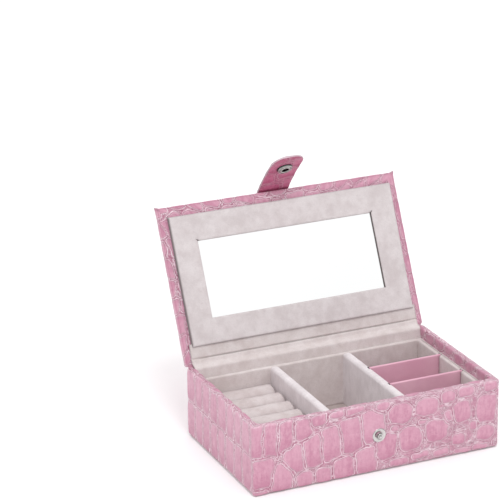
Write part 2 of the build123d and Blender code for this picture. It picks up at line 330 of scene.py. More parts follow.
def round_patch(start, end, low, high, size, rng):
    """Round scales in staggered rows."""
    out, row, v = [], 0, low
    while v < high:
        u = start + (row % 2) * size * 0.5
        while u < end:
            r = size * 0.48 * rng.uniform(0.85, 1.1)
            out.append((u + rng.uniform(-0.14, 0.14) * size, v + rng.uniform(-0.12, 0.12) * size,
                        r * rng.uniform(1.0, 1.15), r * 0.92, rng.uniform(-20, 20)))
            u += size
        v += size * 0.86
        row += 1
    return out


def hide(u, v, scales, wobble=0.9):
    """For each point of the hide: mm inside its scale's edge, how near its scale's middle it is, how far
    below that middle, and the scale's own random tone."""
    wu = u + wobble * noise(u, v, 7.0, 11) + 0.55 * wobble * noise(u, v, 2.8, 12)
    wv = v + wobble * noise(u, v, 7.0, 13) + 0.55 * wobble * noise(u, v, 2.8, 14)
    far = np.full(u.shape, 1e3)
    near, near_slope, next_, next_slope = far.copy(), far * 0 + 1, far.copy(), far * 0 + 1
    tone, low, grow = far * 0, far * 0, far * 0
    rng = np.random.default_rng(5)
    for cu, cv, a, b, tilt in scales:
        value, power = rng.uniform(0, 1), 2.3 + 2.6 * np.clip(b / a - 0.9, 0, 0.8) + rng.uniform(0, 0.7)
        t = math.radians(tilt)
        du, dv = wu - cu, wv - cv
        p, q = (math.cos(t) * du + math.sin(t) * dv) / a, (-math.sin(t) * du + math.cos(t) * dv) / b
        ap, aq = np.abs(p) + 1e-6, np.abs(q) + 1e-6
        d = (ap ** power + aq ** power) ** (1 / power)
        slope = np.hypot((ap / d) ** (power - 1) / a, (aq / d) ** (power - 1) / b)
        closer = d < near
        second = ~closer & (d < next_)
        next_ = np.where(closer, near, np.where(second, d, next_))
        next_slope = np.where(closer, near_slope, np.where(second, slope, next_slope))
        near_slope = np.where(closer, slope, near_slope)
        tone = np.where(closer, value, tone)
        grow = np.where(closer, GROW[0] + (GROW[1] - GROW[0]) * np.clip((b / a - 1.0) / 0.3, 0, 1), grow)
        low = np.where(closer, -q, low)
        near = np.where(closer, d, near)
    border = (next_ - near) / (near_slope + next_slope)
    oval = (grow - near) / near_slope
    k = 0.9
    mix = np.clip(0.5 + (oval - border) / (2 * k), 0, 1)
    edge = oval + (border - oval) * mix - k * mix * (1 - mix)
    return np.clip(edge, -7, 9), np.clip(1 - near, 0, 1), np.clip(low, -1, 1), tone


def emboss(edge, crown, height):
    """How far the leather stands up: domed scales with soft shoulders, and a crease between them."""
    shoulder = smooth((edge - 0.5) / 3.2)
    return height * (0.62 * shoulder + 0.5 * np.sqrt(crown)) - 0.12 * np.exp(-((edge - 0.2) / 0.5) ** 2)


def add_field(ob, name, value):
    layer = ob.data.attributes.new(name, "FLOAT", "POINT")
    layer.data.foreach_set("value", np.asarray(value, np.float32))


def wear_leather(ob, scales, height, wobble=0.9, strength=1.0, sink=0.0, painted_highlight=0.0, painted_shade=0.0, fade=0.0):
    """Reads the hide coordinates of a piece, adds the pattern's values and raises its scales."""
    spot = field(ob, "hide", 3)
    u, v = spot[:, 0].astype(float) * 1000, spot[:, 1].astype(float) * 1000
    edge, crown, low, tone = hide(u, v, scales, wobble)
    values = {"edge": edge, "low": low, "tone": tone, "painted_highlight": painted_highlight, "painted_shade": painted_shade, "fade": fade}
    for name, value in values.items():
        add_field(ob, name, np.zeros(len(u)) + value)
    push(ob, emboss(edge, crown, height) * strength - sink)


# --- materials ---
class Nodes:
    """A short way to write node materials."""

    def __init__(self, name):
        self.material = bpy.data.materials.new(name)
        self.material.use_nodes = True
        self.tree = self.material.node_tree
        self.tree.nodes.clear()
        self.out = self.tree.nodes.new("ShaderNodeOutputMaterial")
        self.shader = self.tree.nodes.new("ShaderNodeBsdfPrincipled")
        self.tree.links.new(self.shader.outputs[0], self.out.inputs[0])

    def feed(self, socket, value):
        if isinstance(value, bpy.types.NodeSocket):
            self.tree.links.new(value, socket)
        elif isinstance(value, tuple) and len(value) == 3 and socket.type == "RGBA":
            socket.default_value = (*value, 1)
        else:
            socket.default_value = value

    def add(self, kind, output=0, settings=None, **inputs):
        node = self.tree.nodes.new(kind)
        for key, value in (settings or {}).items():
            setattr(node, key, value)
        for key, value in inputs.items():
            self.feed(node.inputs[key.replace("_", " ")], value)
        return node.outputs[output]

    def attribute(self, name, output="Fac"):
        return self.add("ShaderNodeAttribute", output, {"attribute_name": name})

    def math(self, operation, a, b=0.0):
        node = self.tree.nodes.new("ShaderNodeMath")
        node.operation = operation
        self.feed(node.inputs[0], a)
        self.feed(node.inputs[1], b)
        return node.outputs[0]

    def plus(self, a, b):
        return self.math("ADD", a, b)

    def minus(self, a, b):
        return self.math("SUBTRACT", a, b)

    def times(self, a, b):
        return self.math("MULTIPLY", a, b)

    def most(self, a, b):
        return self.math("MAXIMUM", a, b)

    def blend(self, a, share, b):
        """share of a and the rest of b."""
        return self.plus(self.times(a, share), self.times(b, 1 - share))

    def away(self, value, middle):
        """Distance from the middle, in either direction."""
        return self.math("ABSOLUTE", self.minus(value, middle))

    def ramp(self, value, low, high, to_low=0.0, to_high=1.0):
        return self.add("ShaderNodeMapRange", 0, {"interpolation_type": "SMOOTHSTEP"}, Value=value,
                        From_Min=low, From_Max=high, To_Min=to_low, To_Max=to_high)

    def mix(self, share, a, b):
        node = self.tree.nodes.new("ShaderNodeMix")
        node.data_type = "RGBA"
        self.feed(node.inputs[0], share)
        self.feed(node.inputs[6], a)
        self.feed(node.inputs[7], b)
        return node.outputs[2]

    def noise(self, where, scale, detail=3.0, rough=0.55):
        return self.add("ShaderNodeTexNoise", 0, Vector=where, Scale=scale, Detail=detail, Roughness=rough)

    def cell_edges(self, where, scale):
        return self.add("ShaderNodeTexVoronoi", 0, {"feature": "DISTANCE_TO_EDGE"}, Vector=where, Scale=scale)

    def stretch(self, where, scale, turn=0.0):
        return self.add("ShaderNodeMapping", 0, Vector=where, Scale=scale, Rotation=(0, 0, turn))

    def bump(self, height, distance, strength=1.0):
        return self.add("ShaderNodeBump", Height=height, Distance=distance, Strength=strength)

    def surface(self, **inputs):
        for key, value in inputs.items():
            self.feed(self.shader.inputs[key.replace("_", " ")], value)
        return self.material


def object_space(n):
    return n.add("ShaderNodeTexCoord", "Object")


def band(n, value, middle, half, reach):
    """1 within half of the middle, falling to 0 at reach."""
    return n.ramp(n.away(value, middle), half, reach, 1.0, 0.0)


def thin_lines(n, where, scale, width, seed_shift):
    """Long curved hairlines: the contours of a soft noise."""
    shifted = n.add("ShaderNodeMapping", 0, Vector=where, Location=(seed_shift, 0.1, 0.2))
    level = n.noise(shifted, scale, 1.5, 0.5)
    return n.ramp(n.away(level, 0.5), 0.0, width, 1.0, 0.0)


def outlines(n, where, edge, fine, wide, patch, soft):
    """Pale and dark lines that follow the outline of a scale, about a millimetre apart."""
    outline = n.minus(1.0, n.ramp(edge, 1.1, 2.3))
    wander = n.plus(n.times(soft, 1.3), n.times(fine, 0.25))
    ring = n.math("FRACT", n.plus(n.times(edge, 0.78), wander))
    rough_edge = n.plus(edge, n.times(n.minus(fine, 0.5), 0.45))
    light = n.times(band(n, ring, 0.5, 0.06, 0.17), outline)
    light = n.times(light, n.ramp(patch, 0.38, 0.54, 0.25, 0.95))
    rim = n.most(band(n, rough_edge, 0.85, 0.12, 0.30), n.times(band(n, rough_edge, 1.75, 0.06, 0.20), 0.45))
    rim = n.times(rim, n.ramp(wide, 0.36, 0.58, 0.45, 1.0))
    light = n.most(light, n.times(rim, n.ramp(soft, 0.34, 0.50, 0.45, 1.0)))
    dark = n.times(band(n, ring, 0.79, 0.04, 0.13), outline)
    dark = n.times(dark, n.ramp(n.noise(where, 330, 2), 0.42, 0.56, 0.10, 0.9))
    crease = n.times(band(n, rough_edge, 0.2, 0.06, 0.24), n.ramp(patch, 0.38, 0.56, 0.15, 0.62))
    return light, n.most(dark, crease)


def crackle(n, where, edge, between, patch):
    """Fine cracks and pale wrinkles in the leather between the scales."""
    crack = n.times(n.ramp(n.cell_edges(where, 460.0), 0.02, 0.12, 1.0, 0.0), between)
    along = n.stretch(where, (0.55, 1.15, 1.0))
    wrinkle = n.most(thin_lines(n, along, 140, 0.022, 0.0), thin_lines(n, along, 230, 0.020, 0.7))
    wrinkle = n.most(wrinkle, thin_lines(n, along, 330, 0.024, 1.3))
    wrinkle = n.times(wrinkle, n.ramp(patch, 0.38, 0.52, 0.1, 1.0))
    return crack, n.times(wrinkle, n.ramp(edge, 0.2, 1.4, 1.0, 0.12))


def croc_material(name, deep, body, pale, inter, groove):
    """Embossed leather: brushed scales, lines round them and fine crackle between them."""
    n = Nodes(name)
    where = n.attribute("hide", "Vector")
    fine = n.noise(where, 620, 3)
    wide = n.noise(where, 60, 2)
    patch = n.noise(where, 170, 3)
    soft = n.noise(where, 230, 2)
    edge, low, fade = n.attribute("edge"), n.attribute("low"), n.attribute("fade")
    inside = n.ramp(edge, 0.2, 1.4)
    between = n.minus(1.0, inside)
    light, dark = outlines(n, where, edge, fine, wide, patch, soft)
    crack, wrinkle = crackle(n, where, edge, between, patch)
    brushed = n.noise(n.stretch(where, (1.0, 0.16, 1.0)), 260, 4, 0.65)
    mottle = n.noise(n.stretch(where, (1.0, 0.6, 1.0)), 420, 3, 0.7)
    colour = n.mix(n.ramp(n.blend(brushed, 0.5, mottle), 0.37, 0.62), deep, body)
    lift = n.blend(n.attribute("tone"), 0.45, wide)
    colour = n.mix(n.ramp(lift, 0.22, 0.78, 0.0, 0.42), colour, inter)
    # painted light and shade: each scale lighter toward its top and deeper toward its bottom, as if lit from above
    colour = n.mix(n.times(n.ramp(low, -0.9, 0.4, 0.22, 0.0), inside), colour, inter)
    colour = n.mix(n.times(n.ramp(low, 0.1, 0.95, 0.0, 0.7), inside), colour, deep)
    colour = n.mix(n.times(between, 0.12), colour, inter)
    # where the outlines fade, short dark dashes below the scales take their place: painted shadow under each
    # scale's bump
    dash = n.times(n.ramp(low, 0.15, 0.6), n.ramp(low, 0.75, 1.0, 1.0, 0.0))
    dash = n.times(n.times(dash, fade), n.ramp(edge, 0.4, 2.0))
    colour = n.mix(n.times(dash, n.ramp(patch, 0.40, 0.56, 0.15, 0.55)), colour, deep)
    colour = n.mix(n.times(dash, n.ramp(soft, 0.45, 0.60, 0.0, 0.22)), colour, groove)
    calm = n.minus(1.0, fade)
    colour = n.mix(n.times(n.most(dark, n.times(crack, 0.25)), calm), colour, groove)
    lines = n.times(n.most(n.times(light, 0.95), n.times(wrinkle, 0.75)), calm)
    # painted highlight: pale dashes where the attribute marks edges that catch light
    painted_highlight = n.times(n.attribute("painted_highlight"), n.ramp(n.noise(where, 420, 3), 0.44, 0.60, 0.25, 1.0))
    colour = n.mix(n.most(lines, painted_highlight), colour, pale)
    # painted shade: groove colour where the attribute marks shaded edges
    colour = n.mix(n.attribute("painted_shade"), colour, groove)
    height = n.plus(n.times(n.most(n.most(crack, wrinkle), dark), -0.9), n.times(light, 0.7))
    height = n.plus(height, n.times(n.noise(n.stretch(where, (1.0, 0.25, 1.0)), 480, 4, 0.6), 1.1))
    height = n.plus(height, n.times(n.noise(where, 2200, 2), 0.3))
    return n.surface(Base_Color=colour, Roughness=n.ramp(n.blend(fine, 0.5, patch), 0.35, 0.65, 0.32, 0.48),
                     Normal=n.bump(height, 0.00026), Specular_IOR_Level=0.5, Coat_Weight=0.2,
                     Coat_Roughness=0.22)


def velvet_material(name, dark, light):
    """Short pile: fine speckle, faint stroke marks and a soft bloom. The gap attribute paints shade into its
    folds, grooves and gaps.
    """
    n = Nodes(name)
    where = object_space(n)
    patches = n.noise(where, 70, 4, 0.6)
    strokes = n.noise(n.stretch(where, (1.0, 1.8, 0.7), 0.6), 160, 3, 0.6)
    pile = n.noise(where, 1500, 3, 0.75)
    blend = n.blend(patches, 0.6, strokes)
    colour = n.mix(n.ramp(blend, 0.34, 0.66), dark, light)
    colour = n.mix(n.ramp(pile, 0.42, 0.72, 0.0, 0.30), colour, tuple(0.72 * c for c in dark))
    colour = n.mix(n.attribute("gap"), colour, (0.05, 0.035, 0.035))
    height = n.plus(n.times(pile, 0.8), strokes)
    return n.surface(Base_Color=colour, Roughness=n.ramp(blend, 0.3, 0.7, 0.8, 0.95),
                     Normal=n.bump(height, 0.00035, 0.6), Sheen_Weight=0.12, Sheen_Roughness=0.5,
                     Specular_IOR_Level=0.15)


def smooth_leather_material(name, deep, body):
    """Fine-grained leather without scales."""
    n = Nodes(name)
    where = object_space(n)
    grain = n.cell_edges(where, 1400.0)
    soft = n.noise(where, 40, 3)
    colour = n.mix(n.ramp(soft, 0.3, 0.7), deep, body)
    height = n.plus(n.ramp(grain, 0.0, 0.12), n.times(soft, 0.6))
    return n.surface(Base_Color=colour, Roughness=n.ramp(soft, 0.3, 0.7, 0.42, 0.55),
                     Normal=n.bump(height, 0.00006, 0.6), Specular_IOR_Level=0.5)


def metal_material(name, tint, polish):
    """Turned nickel. The shade attribute paints shade into its hollows and under its rims."""
    n = Nodes(name)
    where = object_space(n)
    streak = n.noise(n.stretch(where, (1.0, 8.0, 1.0)), 900, 3)
    smudge = n.noise(where, 300, 2)
    colour = n.mix(smudge, tint, tuple(c * 0.78 for c in tint))
    colour = n.mix(n.attribute("shade"), colour, (0.035, 0.03, 0.03))
    rough = n.ramp(n.blend(streak, 0.5, smudge), 0.3, 0.7, polish, polish + 0.12)
    return n.surface(Base_Color=colour, Metallic=1.0, Roughness=rough, Normal=n.bump(streak, 0.00002, 0.4))


def mirror_material():
    """Silvered glass with a trace of haze."""
    n = Nodes("mirror_silver")
    haze = n.noise(object_space(n), 25, 3)
    return n.surface(Base_Color=n.mix(haze, (0.99, 0.99, 0.99), (0.97, 0.98, 0.98)), Metallic=1.0,
                     Roughness=n.ramp(haze, 0.2, 0.8, 0.01, 0.03))


def board_material(name, dark, light, scale):
    """Fibrous board, card, paper or foam."""
    n = Nodes(name)
    where = object_space(n)
    fibre = n.noise(n.stretch(where, (1.0, 4.0, 4.0)), scale, 5, 0.7)
    return n.surface(Base_Color=n.mix(fibre, dark, light), Roughness=n.ramp(fibre, 0.3, 0.7, 0.75, 0.92),
                     Normal=n.bump(fibre, 0.0002, 0.5))


def each(kind, **looks):
    """One material of a kind for every name, with its colours."""
    return {name: kind(name, *look) for name, look in looks.items()}


# croc leather: deep and body of a scale, its pale lines, the leather between scales, and its grooves; pale also
# paints highlights on edges, groove paints shade at edges, and deep and inter paint the shading of each scale
MATERIALS = {
    **each(croc_material,
           croc_leather=((0.49, 0.185, 0.29), (0.63, 0.315, 0.42), (0.91, 0.755, 0.815),
                         (0.67, 0.365, 0.47), (0.33, 0.09, 0.155)),
           strap_lining=((0.42, 0.06, 0.155), (0.60, 0.155, 0.285), (0.80, 0.50, 0.60),
                         (0.66, 0.25, 0.37), (0.26, 0.04, 0.10))),
    **each(velvet_material,
           velvet=((0.58, 0.52, 0.525), (0.69, 0.637, 0.643)),
           # the same velvet, lighter and warmer: painted light on the liners and the hinge strip
           inner_velvet=((0.64, 0.565, 0.555), (0.75, 0.685, 0.68)),
           # the same velvet, darker: painted shade on the compartments' floor
           floor_velvet=((0.42, 0.35, 0.335), (0.53, 0.455, 0.44)),
           # the same velvet, lighter: painted light on the dividers
           divider_velvet=((0.71, 0.655, 0.67), (0.83, 0.775, 0.795)),
           velvet_roll=((0.58, 0.50, 0.495), (0.70, 0.635, 0.635))),
    **each(smooth_leather_material,
           divider_cover=((0.74, 0.40, 0.515), (0.80, 0.475, 0.58)),
           strap_edge=((0.50, 0.36, 0.41), (0.62, 0.48, 0.53))),
    **each(metal_material, snap_metal=((0.70, 0.69, 0.675), 0.2)),
    "mirror_glass": mirror_material(),
    **each(board_material,
           board=((0.30, 0.21, 0.13), (0.48, 0.36, 0.24), 90),
           card=((0.30, 0.28, 0.25), (0.48, 0.45, 0.41), 160),
           backing_paper=((0.05, 0.04, 0.045), (0.12, 0.09, 0.10), 220),
           foam=((0.62, 0.60, 0.52), (0.82, 0.80, 0.72), 700)),
}


def dress(ob, slot, body=None, replaces=(), finish=None):
    """Gives a piece the material of its finish or its slot, attaches it to its body and hides the CAD nodes it
    stands for.
    """
    ob.data.materials.clear()
    ob.data.materials.append(MATERIALS[finish or slot])
    if body:
        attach(ob, body)
    if replaces:
        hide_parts(*replaces)
    return ob


def dress_frame():
    """Gives every CAD node the material of its slot; the floor lining gets the darker velvet instead, painted
    shade.
    """
    slots = {s["node"]: s["material_slot"] for s in frame["record"]["subparts"]}
    for name, ob in frame["nodes"].items():
        ob.data.materials.clear()
        ob.data.materials.append(MATERIALS["floor_velvet" if name == "floor_lining" else slots[name]])


# --- scales of each face ---
def front_scales():
    """The front: tall belly scales on the left, a slanting band in the middle, round scales on the right."""
    top_left = [(1, 43.5, 6.5, 13.5, 0), (13, 43.5, 6.5, 13.5, -3), (25, 44, 6.2, 12, -4), (38, 46, 7, 8, 14),
                (52, 50.5, 7, 5, 12), (66, 52, 7, 3.8, 8), (81, 52.5, 7.5, 3.6, 6)]
    band = [(32, 24, 7, 10.5, 8), (46.5, 26.5, 6.8, 11, 4), (61, 29.5, 7.2, 11, 4), (78, 33, 8.2, 11.5, 6),
            (95, 36.5, 8.6, 11, 4), (103, 51, 6, 4, 0)]
    low_left = [(6.5, 17.5, 8, 11, 0), (22, 10, 7.6, 10, -8), (40, 5.5, 7.4, 7, 4), (55.5, 6, 7, 7, 0),
                (72, 8, 8.2, 9, 4), (89.5, 11, 8, 9.5, 2), (106, 19.5, 8.4, 9.5, 0), (4, 1.5, 7.5, 3.5, 0)]
    right = [(118, 43, 10.4, 8.2, -4), (139.5, 44, 9.8, 7.4, -4), (126, 21.5, 9.6, 9.8, 8),
             (148, 23.5, 9.4, 8.6, -6), (168.5, 34.5, 7.2, 7.6, 10), (166.5, 13, 6, 5, 0),
             (189.5, 33, 7.2, 9.2, -4), (189, 14, 7.6, 6.4, 0), (157, 49, 6, 5.5, 0), (172, 50, 7, 4.6, 0),
             (193, 51, 6, 5, 0), (113, 31.5, 4, 3, 0), (136, 32.5, 4, 2.5, 0), (158, 33, 3.6, 4.5, 10),
             (178.5, 22, 3.6, 4.2, 0), (117, 4.5, 8.4, 3.6, 4), (135, 6.5, 7.6, 3.4, 3),
             (152, 5.5, 7, 3.6, 2), (169, 3, 7, 2.6, 0), (185, 3.5, 7, 2.8, 0)]
    return top_left + band + low_left + right


def base_scales():
    """The base from its back left corner round to it again, with the inside of the rim and the underside."""
    rng = np.random.default_rng(21)
    width, deep = 2 * HX, 2 * HY
    back, end = width + deep, 2 * width + deep
    out = belly_row(-deep, -5, 8, 11.5, rng, 42.5) + belly_row(-deep, -5, 8, 12, rng, 16)
    out += belly_row(width + 5, back, 8, 11, rng, 40.2, slope=0.04)
    out += belly_row(width + 5, back, 9, 13, rng, 16)
    out += round_patch(back + 4, back + width * 0.45, 4, 56, 15.5, rng)
    out += belly_row(back + width * 0.46, end, 7, 13, rng, 41)
    out += belly_row(back + width * 0.46, end, 8, 13, rng, 15)
    for row, v in enumerate((62.5, 70.0)):
        for u in np.arange(-deep + 8 * row, end, 17.0):
            out.append((u + rng.uniform(-3, 3), v + rng.uniform(-1.5, 1.5), 9.4, 5.6, rng.uniform(-35, 35)))
    return front_scales() + out + belly_row(-deep, end, 46, 7, rng, -8)


def lid_scales():
    """The lid: rows of small puffy scales, and the mixed small scales that turn round its edges."""
    rng = np.random.default_rng(8)
    out, row = [], 0
    for v in np.arange(-HY + 14.5, HY - 3, 10.2):
        for u, up, a, b, tilt in belly_row(-HX + 2, HX - 2, 12 + row % 2, 5.6, rng, v):
            out.append((u, up + 1.2 * math.sin(u / 17 + row), a * 0.9, b * rng.uniform(0.8, 1.2), tilt - 6))
        row += 1
    out += belly_row(-HX + 6, HX - 6, 14, 7.5, rng, -HY + 4)
    for reach in (4.5, 15.0):
        for sign in (-1, 1):
            for u, _, a, _, _ in belly_row(-HX - reach, HX + reach, 15, 4, rng):
                across = sign * (HY + reach) + rng.uniform(-3, 3)
                out.append((u, across, a * rng.uniform(0.7, 1.1), rng.uniform(4.5, 8), rng.uniform(-40, 40)))
            for u, _, a, _, _ in belly_row(-HY - reach, HY + reach, 9, 4, rng):
                across = sign * (HX + reach) + rng.uniform(-3, 3)
                out.append((across, u, rng.uniform(4.5, 8), a * rng.uniform(0.7, 1.1), rng.uniform(-40, 40)))
    return out


# --- base ---
def base_leather():
    """One skin under the walls, up their outside, over the rim and down inside, with its own inner face."""
    ring = Ring(HX, HY, 2.2, SKIN_PITCH)
    low, wall_in, rim_in = BASE_LOW[2], WALL_T - LEATHER_T, RIM - LEATHER_T
    outer = rounded_path([(TURN_UNDER, low, 0), (0, low, 2.0), (0, RIM, 1.6), (WALL_T, RIM, 1.2),
                          (WALL_T, TURN_DOWN, 0)], SKIN_PITCH)
    inner = rounded_path([(wall_in, TURN_DOWN, 0), (wall_in, rim_in, 0.3), (LEATHER_T, rim_in, 0.3),
                          (LEATHER_T, low + LEATHER_T, 0.5), (TURN_UNDER, low + LEATHER_T, 0)], 12)
    # on the hide, a point's height is its distance along the path, equal to its real height at half_up
    run, half_up = lengths(outer), 27
    level = run - run[np.argmin(np.abs(outer[:, 1] - half_up) + outer[:, 0])] + half_up
    level = np.concatenate([level, np.full(len(inner), 90.0)])
    visible = np.arange(len(level)) < len(outer)
    around = ring.around()
    # the rim at the back sinks, and its inner face moves back, under the velvet strip that lies over it
    strip_end, behind, sunk, moved = HX - 4.2, HY - 6, 0.7, 0.35
    points, spot, shown = [], [], []
    for (inward, z), v, seen in zip(np.vstack([outer, inner]), level, visible):
        xy, _ = ring.place(inward)
        back = (np.abs(xy[:, 0]) < strip_end) & (xy[:, 1] > behind)
        covered = back * smooth((z - RIM + 2.5) / 2.0) * (z > 40) * (0.25 + 0.75 * smooth(inward / 1.5))
        xy = xy + np.column_stack([0 * covered, moved * covered * (inward > 3)])
        points.append(np.column_stack([xy, z - sunk * covered * (inward < WALL_T - 0.1)]))
        spot.append(np.column_stack([around, 0 * around + v, 0 * around]) * MM)
        hidden = (xy[:, 1] > behind) & (v > RIM + 1) & (np.abs(xy[:, 0]) < HX - 2)
        shown.append(seen * (1.0 - hidden))
    skin = Skin()
    skin.grid(np.array(points), loop_rows=True, loop_cols=True, hide=np.array(spot), shown=np.array(shown))
    ob = skin.object("base_leather_skin")
    shown = field(ob, "shown")
    v = field(ob, "hide", 3)[:, 1] * 1000
    soft_edge = 0.30 + 0.70 * smooth(np.abs(v - RIM) / 4) * smooth((v + 2) / 4)
    at_fold = points_of(ob)[:, 1] > HY - 9
    # painted highlight: pale dashes along the rim's rounded top edge, where it catches light
    painted_highlight = 0.55 * np.exp(-((v - RIM + 0.6) / 1.0) ** 2) * ~at_fold
    # painted shadow: darker along the bottom edge, where the box meets the floor
    painted_shade = 0.75 * smooth((1.0 - v) / 1.2) * (v > -4)
    sink = 0.2 * smooth(2.5 - np.abs(v - RIM - 1.5)) * (shown > 0.5)
    wear_leather(ob, base_scales(), RELIEF["base"], wobble=0.8, strength=shown * soft_edge, sink=sink,
                 painted_highlight=painted_highlight, painted_shade=painted_shade)
    return dress(ob, "croc_leather", "base", ["base_leather"])


# --- lid ---
def lid_leather():
    """The lid's skin: padded top, rolled edge with folded ears in front, and the border underneath."""
    ring = Ring(HX, HY, 1.6, 0.87)
    inner_low, inner_top = LID_LOW + LID_SKIN_T, LID_TOP - LID_SKIN_T
    outer = rounded_path([(TOP_INSET, LID_TOP, 0), (0, LID_TOP, 1.9), (0, LID_LOW, 0.7),
                          (LID_BORDER, LID_LOW, 0)], SKIN_PITCH)
    inner = rounded_path([(LID_BORDER, inner_low, 0), (LID_SKIN_T, inner_low, 0.3),
                          (LID_SKIN_T, inner_top, 1.4), (TOP_INSET, inner_top, 0)], 6)
    # on the hide, the edge and the underside lie flat round the top
    beyond = np.concatenate([lengths(outer) - TOP_INSET, np.full(len(inner), 30.0)])
    edge_xy, _ = ring.place(0)
    points, spot = [], []
    for (inward, z), away in zip(np.vstack([outer, inner]), beyond):
        xy, out = ring.place(inward)
        flat = edge_xy + out * away if away > 0 else xy
        points.append(np.column_stack([xy, np.full(len(xy), z)]))
        spot.append(np.column_stack([flat, 0 * flat[:, 0]]) * MM)
    visible = (np.arange(len(beyond)) < len(outer)).astype(float)
    skin = Skin()
    skin.grid(np.array(points), loop_cols=True, flip=True, hide=np.array(spot),
              shown=np.repeat(visible[:, None], len(ring.side), 1))
    nx, ny = int((ring.side == 1).sum()), int((ring.side == 0).sum())
    gx, gy = np.meshgrid(np.linspace(-1, 1, nx + 1) * (HX - TOP_INSET),
                         np.linspace(-1, 1, ny + 1) * (HY - TOP_INSET))
    for z, seen in ((LID_TOP, 1.0), (inner_top, 0.0)):
        skin.grid(np.stack([gx, gy, 0 * gx + z], -1), flip=seen < 0.5,
                  hide=np.stack([gx, gy, 0 * gx], -1) * MM, shown=0 * gx + seen)
    ob = skin.object("lid_leather_skin")
    co = points_of(ob)
    inset = np.minimum(HX - np.abs(co[:, 0]), HY - np.abs(co[:, 1]))
    side = inset < 1.0
    underside = (co[:, 2] < LID_LOW + 0.3).astype(float)
    corner_away = np.hypot(np.abs(co[:, 0]) - HX, co[:, 1] + HY)
    height = smooth((LID_TOP - co[:, 2]) / (LID_THICK - 1.0))
    ear_long, ear_wide = 2.2, 1.1
    for sx in (-1, 1):
        ear = ear_long * height * np.exp(-(np.hypot(co[:, 0] - sx * HX, co[:, 1] + HY) / ear_wide) ** 2)
        co += np.column_stack([sx * ear, -ear, 0.35 * ear])
    inset = np.minimum(HX - np.abs(co[:, 0]), HY - np.abs(co[:, 1]))
    pad = (co[:, 2] > LID_TOP - 0.3) * smooth((inset - 1.5) / 7.0)
    set_points(ob, opened(co))
    shown, spot = field(ob, "shown"), field(ob, "hide", 3) / MM
    lip = np.abs(np.maximum(np.abs(spot[:, 0]) - HX, np.abs(spot[:, 1]) - HY))
    # painted highlight: pale along the lid's rounded top edge, where it catches light
    painted_highlight = 0.3 * np.exp(-(lip / 0.9) ** 2) * (1 - pad)
    # painted shade: darker along the lower edge of the lid's side and at its folded front corners
    tips = np.exp(-(corner_away / 2.0) ** 2)
    painted_shade = np.maximum(0.5 * np.exp(-((lip - LID_THICK + 0.3) / 0.5) ** 2), 0.6 * tips) * (1 - pad)
    strapped = (np.abs(spot[:, 0]) < STRAP_HALF) & (spot[:, 1] < -HY + ANCHOR_LONG) & ~(underside > 0)
    velveted = (underside > 0) & (spot[:, 1] > HY)
    strength = shown * (np.where(side, 0.25, 0.4) * (1 - pad) + 1.1 * pad)
    strength = np.where(strapped, 0.15 * strength, np.where(velveted, 0.0, strength))
    # the lines round the scales fade on the padded top and toward the right
    fade = np.maximum(0.85 * pad, 0.5 * smooth((spot[:, 0] - 10) / 60))
    wear_leather(ob, lid_scales(), RELIEF["lid"], wobble=0.8, strength=strength,
                 sink=0.26 * underside * shown, painted_highlight=painted_highlight, painted_shade=painted_shade, fade=fade)
    return dress(ob, "croc_leather", "lid", ["lid_leather"])


# --- velvet pieces ---
def velvet_bar(name, length, thick, height, top_radius, groove, seed):
    """A wrapped card panel standing on its edge along X, with a rounded top. A liner's top has a groove."""
    groove_half, groove_deep, groove_dark = 0.42, 0.6, 0.45
    half = thick / 2
    path = rounded_path([(-half, 0, 0), (-half, height, top_radius), (half, height, top_radius),
                         (half, 0, 0)], 0.25)
    order = np.arange(len(path))
    path = path[(path[:, 1] > height - 2.2) | (order % 4 == 0) | (order == len(path) - 1)]
    ends = np.array([0, 0.25, 0.7]) / length
    middle = np.linspace(1.4 / length, 1 - 1.4 / length, int(length / 1.6))
    x = (np.concatenate([ends, middle, 1 - ends[::-1]]) - 0.5) * length
    pinch = np.minimum(np.abs(x + length / 2), np.abs(length / 2 - x))
    squeeze = 1 - 0.5 / half * (1 - smooth(pinch)) if groove is not None else 1 + 0 * x
    rows, seams = [], []
    for y, z in path:
        wave = 0.10 * noise(x, 0 * x + z + 3 * y, 9.0, seed)
        seam = 0.0
        # painted shade: the groove along a liner's top is darkened, and the bar's ends a little
        if groove is not None and z > height - 1.5:
            seam = math.exp(-((y - groove) / groove_half) ** 2)
        seams.append(0 * x + groove_dark * seam)
        low = 1 - 0.25 * (z / height) * (1 - smooth(pinch / 1.2)) / height
        side = wave * math.copysign(1, y) if abs(y) > half - 0.1 else 0 * x
        rows.append(np.column_stack([x, y * squeeze + side, z * low - groove_deep * seam]))
    skin = Skin()
    skin.bar(np.array(rows), np.array(seams), 0.1)
    return skin.object(name)


def stand(ob, place, degrees=0):
    """Moves a piece from the origin to its place, turned about Z."""
    ob.data.transform(Matrix.Translation(Vector(place) * MM) @ Matrix.Rotation(math.radians(degrees), 4, "Z"))
    return ob


def standing_velvet():
    """The four liners and the two fixed dividers. The number turns a liner's groove to the wall."""
    liner_round, divider_round, groove, first_seed = 1.5, 2.6, -0.35, 30
    panels = {"liner_front": 0, "liner_back": 180, "liner_left": -90, "liner_right": 90,
              "divider_left": 90, "divider_right": 90}
    for seed, (name, turn) in enumerate(panels.items(), first_seed):
        low, high = node_box(f"{name}_velvet")
        thick, length = sorted((high - low)[:2])
        liner = name.startswith("liner")
        ob = velvet_bar(f"{name}_wrap", length, thick, LINER_TOP - FLOOR,
                        liner_round if liner else divider_round, groove if liner else None, seed)
        stand(ob, (*(high + low)[:2] / 2, FLOOR), turn)
        dress(ob, "velvet", "base", [f"{name}_velvet", f"{name}_card"],
              finish="inner_velvet" if liner else "divider_velvet")
        if name in ("liner_right", "divider_right"):
            cut_slots(ob)


